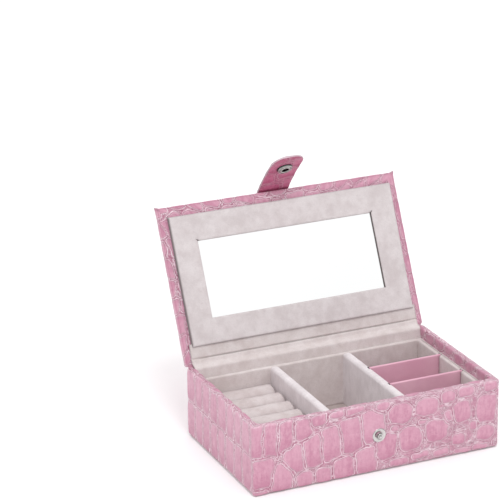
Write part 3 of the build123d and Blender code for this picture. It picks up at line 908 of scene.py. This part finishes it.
def cut_slots(ob):
    """Cuts the slots that hold the lift-out dividers; their walls get the dark backing paper, painted shade inside
    the slots.
    """
    ob.data.materials.append(MATERIALS["backing_paper"])
    for side in ("front", "back"):
        low, high = node_box(f"loose_divider_{side}_cover")
        low, high = low - (SLOT_PLAY, SLOT_PLAY, -1), high + (SLOT_PLAY, SLOT_PLAY, 9)
        bpy.ops.mesh.primitive_cube_add(size=1, location=Vector((low + high) / 2) * MM)
        cutter = bpy.context.object
        cutter.scale = Vector(high - low) * MM
        cutter.data.materials.append(MATERIALS["backing_paper"])
        modifier = ob.modifiers.new("slot", "BOOLEAN")
        modifier.operation, modifier.object, modifier.solver = "DIFFERENCE", cutter, "EXACT"
        modifier.material_mode = "TRANSFER"
        bpy.context.view_layer.objects.active = ob
        bpy.ops.object.modifier_apply(modifier="slot")
        bpy.data.objects.remove(cutter, do_unlink=True)


def ring_rolls():
    """Six soft rolls side by side, each a little uneven, with tucked ends."""
    for i in range(1, 7):
        low, high = node_box(f"ring_roll_{i}")
        length, width, height = high - low
        half, round_top = width / 2, width / 2 * 0.93
        path = rounded_path([(-half, 0, 0), (-half, height, round_top), (half, height, round_top),
                             (half, 0, 0)], 0.8)
        x = np.linspace(-length / 2, length / 2, int(length / 1.2) + 1)
        end = np.minimum(x + length / 2, length / 2 - x)
        drawn_in = 1 - smooth(end / 3.5)
        rows, seams = [], []
        for y, z in path:
            crest = smooth(z / height)
            puff = 0.28 * noise(x, 0 * x + y + 40.0 * i, 11, 50 + i) * crest
            lean = 0.25 * noise(x, 0 * x + 9.0 * i, 20, 60 + i) * crest
            rows.append(np.column_stack([x, y * (1 - 0.28 * drawn_in) + lean,
                                         z * (1 - 0.22 * drawn_in) + puff]))
            # painted shade: darker on the low sides where the rolls meet, and at their tucked ends
            seams.append(0.55 * smooth((abs(y) / half - 0.82) / 0.16) + 0.3 * (1 - smooth(end / 0.8)))
        skin = Skin()
        skin.bar(np.array(rows), np.array(seams), 0.3)
        ob = skin.object(f"ring_roll_{i}_pad")
        stand(ob, (*(low + high)[:2] / 2, low[2]))
        dress(ob, "velvet_roll", "base", [f"ring_roll_{i}"])


def lid_uv(node):
    """Box of a lid node in closed-lid coordinates."""
    co = swung(points_of(frame["nodes"][node]), LID_OPEN)
    return co.min(0), co.max(0)


def rectangle(x0, y0, x1, y1):
    return np.array([(x0, y0), (x1, y0), (x1, y1), (x0, y1)])


def mirror_panel():
    """The velvet frame of the mirror: four mitred sides, from its outer wall to the wall of its window."""
    low, high = lid_uv("mirror_panel_velvet")
    outer = rectangle(*low[:2], *high[:2])
    window = rectangle(-WINDOW[0], HY - WINDOW[2], WINDOW[0], HY - WINDOW[1])
    face, glass, run = low[2], low[2] + 1.7, 20
    across = rounded_path([(0, LID_LOW, 0), (0, face, 1.3), (run, face, 1.0), (run, glass, 0)], 1.0)
    steps = np.linspace(0, 1, 90)
    front, right, shadowed_side = 0, 1, 3
    skin = Skin()
    for k in range(4):
        a, b, c, d = outer[k], outer[(k + 1) % 4], window[k], window[(k + 1) % 4]
        rows, gaps = [], []
        near_corner = np.exp(-((1 - np.abs(2 * steps - 1)) * np.linalg.norm(d - c) / 2 / 1.2) ** 2)
        wall_dark = 0.85 if k == right else 0.15
        for x, z in across:
            s = x / run
            p, q = a + (c - a) * s, b + (d - b) * s
            line = p + (q - p) * steps[:, None]
            beside = np.clip((line[:, 0] - WINDOW[0]) / (HX - WINDOW[0]), 0, 1)
            line[:, 0] -= PANEL_LEAN * (line[:, 1] + HY) / (2 * HY) * beside
            wave = 0.10 * noise(line[:, 0], line[:, 1], 26, 71) * smooth(s * 6) * smooth((1 - s) * 6)
            rows.append(np.column_stack([line, z + wave]))
            # darker on the window's wall, most on its right side; painted shade where the velvet is pulled into
            # the front corners; painted shadow on the outer wall, deepest on the left side
            on_wall = smooth((s - 0.975) / 0.02)
            pulled = near_corner * smooth((s - 0.92) / 0.04) * (k == front)
            shaded = (0.7 if k == shadowed_side else 0.3) * math.exp(-(s / 0.03) ** 2)
            gaps.append(np.maximum(on_wall * wall_dark, pulled) + shaded)
        gaps = np.array(gaps)
        skin.grid(np.array(rows), gap=gaps)
        ends = np.array([rows[0], rows[-1]])
        ends[:, :, 2] = LID_LOW
        skin.grid(ends, flip=True, gap=gaps[[0, -1]])
        skin.grid(np.array([ends[1], rows[-1]]), flip=True, gap=gaps[[-1, -1]])
    ob = skin.object("mirror_panel_wrap")
    set_points(ob, opened(points_of(ob)))
    return dress(ob, "velvet", "lid", ["mirror_panel_velvet", "mirror_panel_card"])


def hinge_velvet():
    """The velvet strip that covers the fold inside: up the lid, across the rim and down behind the liner."""
    x_half = HX - FOLD_INSET

    def on_lid(distance, lift):
        return opened(np.array([[0.0, HY - distance, LID_LOW - lift]]))[0][1:]

    strip_t, rim = 0.5, RIM + 0.35
    inner_face = HY - WALL_T
    path = rounded_path([(*on_lid(16.0, 1.5), 0), (*on_lid(12.0, 1.4), 3.0), (*on_lid(5.5, 0.95), 0.5),
                         (*on_lid(4.5, 0.1), 0.25), (*on_lid(3.5, 1.05), 0.7), (*on_lid(0.8, 1.0), 1.8),
                         (HY - 2.2, rim + 0.25, 3.0), (inner_face - 0.3, rim - 0.9, 2.2),
                         (inner_face - 1.4, LINER_TOP - 0.2, 1.0),
                         (inner_face - 1.3, LINER_TOP - 3, 0)], 0.55)
    x = np.linspace(-x_half, x_half, 150)
    run = lengths(path)
    normal = normals(path, np.array([-1.0, 0.3]))
    crease = run[np.argmin(np.linalg.norm(path - on_lid(4.5, 0.3), axis=1))]
    inside_ends = smooth((x_half - np.abs(x)) / 14)
    # painted shade in the crease, and a little on the stretch between the panel and the crease
    dark = np.array([0.45 * math.exp(-((s - crease) / 0.6) ** 2) * inside_ends + 0.07 * smooth(crease - s)
                     for s in run])
    layers = []
    for depth in (0.0, -strip_t):
        rows = []
        for (y, z), (ny, nz), s in zip(path, normal, run):
            lift = 0.16 * noise(x, 0 * x + s * 2.0, 12, 81) * smooth(s / 4) + depth
            rows.append(np.column_stack([x, y + ny * lift, z + nz * lift]))
        layers.append(rows)
    skin = Skin()
    skin.strip(layers, gap=np.array([dark, dark]))
    ob = skin.object("hinge_velvet_strip")
    dress(ob, "velvet", finish="inner_velvet")
    end_yz = on_lid(2.5, 0.3)
    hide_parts("hinge_velvet")
    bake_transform(ob)
    return ob


def hinge_leather():
    """The fold of the outer leather, from the top of the base's back to the lid's back edge."""
    x_half = HX - 1.5
    lid_y, lid_z = opened(np.array([[0, HY, LID_LOW + 3.2]]))[0][1:]
    foot = RIM - 3.4
    path = rounded_path([(HY + 0.12, foot, 0), (HINGE_Y + 0.15, HINGE_Z, 0.7), (lid_y, lid_z - 0.12, 0)], 0.4)
    x = np.linspace(-x_half, x_half, 240)
    back_start = 2 * HX + 2 * HY
    layers = []
    for lift in (0.12, -0.35):
        rows = []
        for (y, z), t in zip(path, np.linspace(0, 1, len(path))):
            rows.append(np.column_stack([x, 0 * x + y + lift * math.cos(t * 1.1),
                                         0 * x + z + lift * math.sin(-0.2 - t * 0.9)]))
        layers.append(rows)
    spots = [np.column_stack([back_start + HX - x, 0 * x + foot + s, 0 * x]) for s in lengths(path)]
    skin = Skin()
    skin.strip(layers, flip=True, hide=np.array([spots, spots]) * MM)
    ob = skin.object("hinge_leather_fold")
    wear_leather(ob, base_scales(), RELIEF["fold"])
    dress(ob, "croc_leather")
    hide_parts("hinge_leather")
    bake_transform(ob)
    return ob


# --- lift-out dividers ---
def loose_dividers():
    """Two thin plates with rounded edges."""
    for side in ("front", "back"):
        low, high = node_box(f"loose_divider_{side}_cover")
        length, thick, height = high - low
        half = thick / 2
        path = rounded_path([(-half, 0, 0.5), (-half, height, 0.85), (half, height, 0.85), (half, 0, 0.5),
                             (-half, 0, 0)], 0.35)
        end = length / 2 - np.array([0, 0.2])
        x = np.concatenate([-end, np.linspace(0.6 - length / 2, length / 2 - 0.6, 60), end[::-1]])
        taper = 0.8 + 0.2 * smooth(np.minimum(x + length / 2, length / 2 - x) / 0.6)
        grid = np.array([np.column_stack([x, y * taper + 0.05 * noise(x, 0 * x + z, 14, 91), z + 0 * x])
                         for y, z in path])
        skin = Skin()
        skin.bar(grid, 0 * grid[..., 0], 0.0)
        ob = skin.object(f"loose_divider_{side}_wrap")
        stand(ob, (*(low + high)[:2] / 2, low[2]))
        dress(ob, "divider_cover", f"loose_divider_{side}",
              [f"loose_divider_{side}_cover", f"loose_divider_{side}_card"])


# --- strap ---
def strap_line():
    """The glued part of the strap at rest, in (y, z): its direction, the way up from the lid, its points with
    their distances from the bend at the lid's edge, where the bend starts and the bend's radius."""
    outward = opened(np.array([[0, -HY, 0.0], [0, -HY - 1, 0.0]]))
    along = (outward[1] - outward[0])[1:]
    lift = opened(np.array([[0, 0, 0.0], [0, 0, 1.0]]))
    up = (lift[1] - lift[0])[1:]
    radius = 1.2 + STRAP_T / 2
    start = ROOT_BEND + up * radius
    where = [-s * STRAP_STEP for s in range(int(ANCHOR_LONG / STRAP_STEP), 0, -1)]
    return along, up, [start + along * s for s in where], where, start, radius


def strap_points(length):
    """Points of the whole strap at rest, their distances from the bend, and how long the bend is."""
    along, up, line, where, point, radius = strap_line()
    first, last = math.radians(ROOT_ANGLE), math.radians(TIP_ANGLE)
    bend_long = radius * first
    s = 0.0
    line.append(point)
    where.append(s)
    while s < length + bend_long - 1e-6:
        if s < bend_long:
            angle = first * (s + STRAP_STEP / 2) / bend_long
        else:
            t = (s - bend_long) / length
            angle = first + (last - first) * smooth((t - 0.2) / 0.5) + math.radians(4) * t * t
        point = point + (along * math.cos(angle) - up * math.sin(angle)) * STRAP_STEP
        s += STRAP_STEP
        line.append(point)
        where.append(s)
    return np.array(line), np.array(where), bend_long


def cad_angle(node):
    """Angle in degrees between the lid's plane and a strap piece's long direction, on the resting frame."""
    co = points_of(frame["nodes"][node])[:, 1:]
    _, _, axes = np.linalg.svd(co - co.mean(0), full_matrices=False)
    along, up, *_ = strap_line()
    heading = axes[0] if axes[0] @ (TIP_BEND - ROOT_BEND) > 0 else -axes[0]
    return math.degrees(math.atan2(-(heading @ up), heading @ along))


ROOT_ANGLE = cad_angle("strap_root_inner")
TIP_ANGLE = cad_angle("strap_tip_inner")


def strap_scales():
    """Pairs of scales across the strap."""
    rng = np.random.default_rng(3)
    # of each pair: where it is along the strap, its half height, and where across the strap it meets
    pairs = ((-31, 9, 3), (-12, 9.5, -5), (5, 7.5, 4), (19.5, 7, -4), (35, 8.5, 5), (53, 10, -3))
    out = []
    for v, half, split in pairs:
        for side, up in ((-1, 0), (1, 4)):
            out.append(((split + side * 14) / 2, v + up + rng.uniform(-2.5, 2.5), (14 - side * split) / 2,
                        half, rng.uniform(-14, 14)))
    return out


def strap_piece(name, line, where, first, last, tip, replaces):
    """One stretch of the strap: both faces and its rolled edges, with a round tip where it ends."""
    pick = (where >= first - 1e-6) & (where <= last + 1e-6)
    mid, s = line[pick], where[pick]
    normal = normals(mid, strap_line()[1])
    to_end = s[-1] - s
    half_w = np.full(len(s), STRAP_HALF)
    if tip:
        r = STRAP_HALF - 1.0
        into = np.clip(r - to_end, 0, r)
        half_w = 1.0 + r * np.maximum(1 - (into / r) ** 2.1, 0.0) ** (1 / 2.1)
    across = np.linspace(-1, 1, 40)
    half_t = STRAP_T / 2
    rolled = half_t * 0.9

    def roll(inset):
        """Half thickness at a distance from the edge."""
        return half_t * np.sqrt(np.clip(1 - (1 - np.clip(inset / rolled, 0, 1)) ** 2, 0, 1))

    faces, spots = [], []
    for side in (1, -1):
        rows, flat = [], []
        for (y, z), (ny, nz), w, si, rest in zip(mid, normal, half_w, s, to_end):
            thick = roll(w - np.abs(across * w))
            if tip:
                thick = np.minimum(thick, roll(rest))
            x = across * w - STRAP_LEAN + 0.75 * STRAP_LEAN * smooth((si - 6) / 24)
            rows.append(np.column_stack([x, y + ny * thick * side, z + nz * thick * side]))
            flat.append(np.column_stack([x, 0 * x + si, 0 * x]))
        faces.append(rows)
        spots.append(flat)
    faces, spots = np.array(faces), np.array(spots) * MM
    border = (1 - np.abs(across)) * half_w[:, None]
    if tip:
        border = np.minimum(border, to_end[:, None])
    border = np.exp(-(border / 0.5) ** 2)
    skin = Skin()
    for k in (0, 1):
        skin.grid(faces[k], flip=k == 1, hide=spots[k], face=0 * border + 1 - k, border=border)
    for row in ((0,) if tip else (0, -1)):
        skin.grid(faces[:, row], flip=row == 0, hide=spots[:, row], face=np.full((2, len(across)), 0.5),
                  border=np.ones((2, len(across))))
    ob = skin.object(name)
    face, rim = field(ob, "face"), field(ob, "border")
    flat = np.abs(face - 0.5) > 0.4
    wear_leather(ob, strap_scales(), RELIEF["strap"], strength=flat.astype(float), fade=0.45)
    for material in ("croc_leather", "strap_lining", "strap_edge"):
        ob.data.materials.append(MATERIALS[material])
    for poly in ob.data.polygons:
        corners = list(poly.vertices)
        poly.material_index = 2 if np.mean(rim[corners]) > 0.45 else int(np.mean(face[corners]) < 0.4)
    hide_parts(*replaces)
    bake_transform(ob)
    return ob


def strap():
    """The strap in two stretches, cut beyond the bend."""
    corner = points_of(frame["nodes"]["strap_tip_inner"])[:, 1:]
    length = STRAP_LONG + max(np.linalg.norm(corner - TIP_BEND, axis=1))
    line, where, bend_long = strap_points(length)
    cut = where[np.argmin(np.abs(where - bend_long - STRAP_CUT))]

    def spot(s):
        return (0, np.interp(s, where, line[:, 0]) * MM, np.interp(s, where, line[:, 1]) * MM)

    strap_piece("strap_upper", line, where, -ANCHOR_LONG, cut, False,
                ["strap_anchor_inner", "strap_anchor_outer", "strap_root_inner", "strap_root_outer"])
    strap_piece("strap_free_end", line, where, cut, where[-1], True,
                ["strap_tip_inner", "strap_tip_outer"])


# --- snap fastener ---
def lathe(name, profile, segments=72):
    """Turns (radius, height, shade) points about Z. Shade is painted shade, 1 where shadow gathers in hollows and
    under rims.
    """
    turn = np.linspace(0, 2 * math.pi, segments, endpoint=False)
    rows = [np.column_stack([r * np.cos(turn), r * np.sin(turn), 0 * turn + h]) for r, h, _ in profile]
    skin = Skin()
    skin.grid(np.array(rows), loop_cols=True, shade=np.array([0 * turn + shade for _, _, shade in profile]))
    return skin.object(name, weld=0.004)


def fitting(name, profile, place, direction, body, replaces=()):
    """A turned metal part, its +Z turned to direction."""
    ob = lathe(name, profile)
    turn = Vector((0, 0, 1)).rotation_difference(Vector(direction)).to_matrix().to_4x4()
    ob.data.transform(Matrix.Translation(Vector(place) * MM) @ turn)
    dress(ob, "snap_metal", body, replaces)


def snap():
    """The cap outside the strap and the socket inside it, square to the strap's free end."""
    ply = points_of(frame["nodes"]["strap_tip_inner"])
    _, _, axes = np.linalg.svd(ply - ply.mean(0), full_matrices=False)
    ring = points_of(frame["nodes"]["snap_socket"])
    socket_centre = (ring.min(0) + ring.max(0)) / 2
    outward = points_of(frame["nodes"]["snap_cap"]).mean(0) - socket_centre
    normal = axes[2] * math.copysign(1, axes[2] @ outward)
    strap_inner = socket_centre + normal * ((ring @ normal).max() - socket_centre @ normal)
    cap_face = strap_inner + normal * STRAP_T
    cap = [(0, 2.35, 0), (1.5, 2.33, 0), (3.2, 2.2, 0), (4.8, 1.9, 0), (6.0, 1.45, 0.05), (6.8, 0.95, 0.2),
           (7.25, 0.45, 0.4), (7.4, 0.1, 0.6), (7.35, -0.15, 0.7), (7.0, -0.25, 0.8), (6.6, -0.1, 0.8),
           (2.4, -0.1, 0.5), (2.4, -1.5, 0.5), (0, -1.5, 0.5)]
    fitting("snap_cap_dome", smooth_profile(cap)[::-1], cap_face, normal, "strap_tip", ["snap_cap"])
    socket = [(2.6, 0.0, 1), (2.55, -1.3, 0.95), (2.8, -1.85, 0.4), (3.4, -2.1, 0), (4.0, -1.9, 0.1),
              (4.35, -1.5, 0.5), (4.65, -1.4, 0.55), (5.0, -1.55, 0.2), (5.4, -1.6, 0.05), (5.8, -1.2, 0.5),
              (6.0, -0.6, 0.9), (6.1, 0.05, 1), (2.6, 0.05, 1)]
    fitting("snap_socket_ring", smooth_profile(socket), strap_inner, normal, "strap_tip", ["snap_socket"])
    # a dark disc: painted shade at the bottom of the socket's well
    well = [(0, -0.45, 1), (1.2, -0.42, 1), (2.55, -0.35, 1), (2.55, -0.05, 1), (0, -0.05, 1)]
    fitting("snap_socket_well", well, strap_inner, normal, "strap_tip")


def smooth_profile(points, steps=3):
    """A Catmull-Rom line through the points."""
    p = np.array(points, float)
    ext = np.vstack([2 * p[0] - p[1], p, 2 * p[-1] - p[-2]])
    out = []
    for i in range(1, len(ext) - 2):
        a, b, c, d = ext[i - 1:i + 3]
        for k in range(steps):
            t = k / steps
            bends = (2 * a - 5 * b + 4 * c - d) * t * t + (3 * b - a - 3 * c + d) * t ** 3
            out.append(0.5 * (2 * b + (c - a) * t + bends))
    out.append(p[-1])
    out = np.array(out)
    out[:, 0] = np.maximum(out[:, 0], 0)
    out[:, 2] = np.clip(out[:, 2], 0, 1)
    return [tuple(q) for q in out]


def stud():
    """The dished flange on the base's front and the ball that the socket snaps over."""
    low, high = node_box("stud_flange")
    centre = (0, high[1], (low[2] + high[2]) / 2)
    dish = [(0, 0.3, 0.5), (1.9, 0.3, 0.45), (2.3, 0.32, 0.35), (2.8, 0.5, 0.1), (3.9, 0.82, 0.02),
            (4.6, 0.9, 0), (5.15, 0.72, 0.15), (5.5, 0.35, 0.5), (5.55, 0.0, 0.75), (5.4, -0.3, 0.8),
            (0, -0.3, 0.8)]
    fitting("stud_dish", smooth_profile(dish)[::-1], centre, (0, -1, 0), "base", ["stud_flange"])
    post = [(0, 1.9, 0.55), (0.5, 1.95, 0.5), (0.9, 2.35, 0.2), (1.25, 2.65, 0.05), (1.6, 2.7, 0),
            (1.9, 2.45, 0.25), (1.95, 2.1, 0.4), (1.7, 1.6, 0.6), (1.65, 1.1, 0.65), (1.9, 0.6, 0.6),
            (2.1, 0.3, 0.5), (0, 0.3, 0.5)]
    fitting("stud_ball", smooth_profile(post)[::-1], centre, (0, -1, 0), "base", ["stud_post"])


# --- floor, light and camera ---
def stage():
    """A white floor and a white sky that is darker at the horizon."""
    bpy.ops.mesh.primitive_plane_add(size=12, location=(0, 0, 0))
    floor = bpy.context.object
    floor.name = "studio_floor"
    n = Nodes("studio_floor")
    grain = n.noise(object_space(n), 3, 2)
    paper = n.mix(grain, (0.93, 0.93, 0.93), (0.95, 0.95, 0.95))
    floor.data.materials.append(n.surface(Base_Color=paper, Roughness=0.9, Emission_Color=(1, 1, 1),
                                          Emission_Strength=0.09))
    world = bpy.data.worlds.new("studio")
    bpy.context.scene.world = world
    world.use_nodes = True
    tree = world.node_tree
    where = tree.nodes.new("ShaderNodeTexCoord")
    axes = tree.nodes.new("ShaderNodeSeparateXYZ")
    level = tree.nodes.new("ShaderNodeMapRange")
    for socket, value in zip(list(level.inputs)[1:5], (0.0, 0.45, *SKY)):
        socket.default_value = value
    tree.links.new(where.outputs["Generated"], axes.inputs[0])
    tree.links.new(axes.outputs["Z"], level.inputs[0])
    tree.links.new(level.outputs[0], tree.nodes["Background"].inputs[1])
    tree.nodes["Background"].inputs[0].default_value = (1, 1, 1, 1)


def area_light(name, place, target, size, watts):
    data = bpy.data.lights.new(name, "AREA")
    data.shape = "DISK"
    data.size = size
    data.energy = watts
    ob = bpy.data.objects.new(name, data)
    ob.location = place
    ob.rotation_euler = (Vector(target) - Vector(place)).to_track_quat("-Z", "Y").to_euler()
    bpy.context.scene.collection.objects.link(ob)


def camera():
    """The camera fitted to the photo's open box."""
    place = Vector((-742.8, -1499.2, 769.9)) * MM
    forward = Vector((0.3823, 0.8568, -0.3460)).normalized()
    roll = math.radians(-0.66)
    right = forward.cross(Vector((0, 0, 1))).normalized()
    up = right.cross(forward)
    side, top = right * math.cos(roll) + up * math.sin(roll), up * math.cos(roll) - right * math.sin(roll)
    data = bpy.data.cameras.new("camera")
    data.lens, data.sensor_width = 175.8, 36
    data.clip_end = 50
    ob = bpy.data.objects.new("camera", data)
    ob.matrix_world = Matrix.Translation(place) @ Matrix((side, top, -forward)).transposed().to_4x4()
    bpy.context.scene.collection.objects.link(ob)
    bpy.context.scene.camera = ob


# --- build ---
camera()
stage()
# in metres and watts
area_light("key", (-0.3, -1.3, 2.4), (0, 0, 0.05), 0.9, 18.3)
bpy.context.scene.view_settings.view_transform = "Standard"
dress_frame()
base_leather()
lid_leather()
standing_velvet()
ring_rolls()
mirror_panel()
hinge_velvet()
hinge_leather()
loose_dividers()
strap()
snap()
stud()
